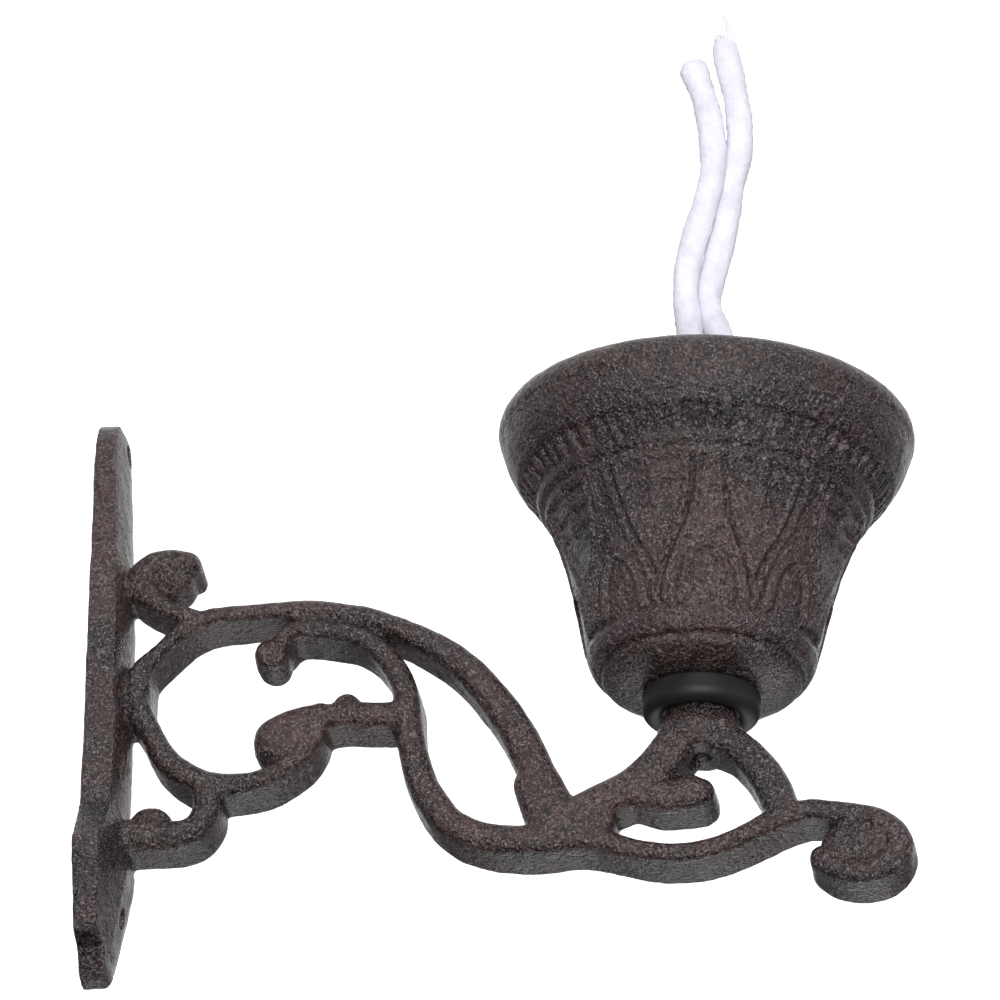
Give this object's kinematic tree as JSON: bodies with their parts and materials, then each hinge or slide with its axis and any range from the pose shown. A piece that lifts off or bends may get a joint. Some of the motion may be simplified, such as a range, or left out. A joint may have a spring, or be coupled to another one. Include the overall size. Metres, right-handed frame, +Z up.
{
  "type": "wall mounted bell",
  "caption": "Cast-iron scroll wall bracket with a hanging hand bell, rubber cup washer, swinging clapper and a doubled cotton pull cord.",
  "frame": {"origin": "on the wall plane, midway between the two screw holes", "axes": "+X out of the wall along the arm, +Z up in use, Y across the arm"},
  "size_m": [0.1489, 0.075, 0.1864],
  "materials": {
    "cast_iron": "antique brown, sand cast",
    "bell_iron": "antique brown, sand cast",
    "black_rubber": "satin moulded",
    "zinc_steel": "bright zinc plated",
    "clapper_iron": "antique brown, sand cast",
    "cotton_cord": "soft twisted cotton"
  },
  "bodies": {
    "bracket": {"bracket_casting": "cast_iron", "bell": "bell_iron", "rubber_cup_washer": "black_rubber", "eye_bolt": "zinc_steel", "flat_washer": "zinc_steel", "spring_washer": "zinc_steel", "lock_nut": "zinc_steel"},
    "link": {"clapper_link": "zinc_steel"},
    "clapper": {"clapper_rod": "zinc_steel", "clapper_ball": "clapper_iron"},
    "cord": {"cord_bight": "cotton_cord", "cord_tail_left": "cotton_cord", "cord_tail_right": "cotton_cord"}
  },
  "joints": [
    {"name": "link_swing", "type": "hinge", "parent": "bracket", "child": "link", "pos_m": [0.11, 0, -0.0122], "axis": [1, 0, 0], "range_deg": [-10, 10]},
    {"name": "clapper_swing", "type": "hinge", "parent": "link", "child": "clapper", "pos_m": [0.11, 0, -0.01675], "axis": [0, 1, 0], "range_deg": [-36, 36]},
    {"name": "cord_swing", "type": "hinge", "parent": "clapper", "child": "cord", "pos_m": [0.11, 0, -0.0614], "axis": [0, 1, 0], "range_deg": [-25, 25]}
  ]
}
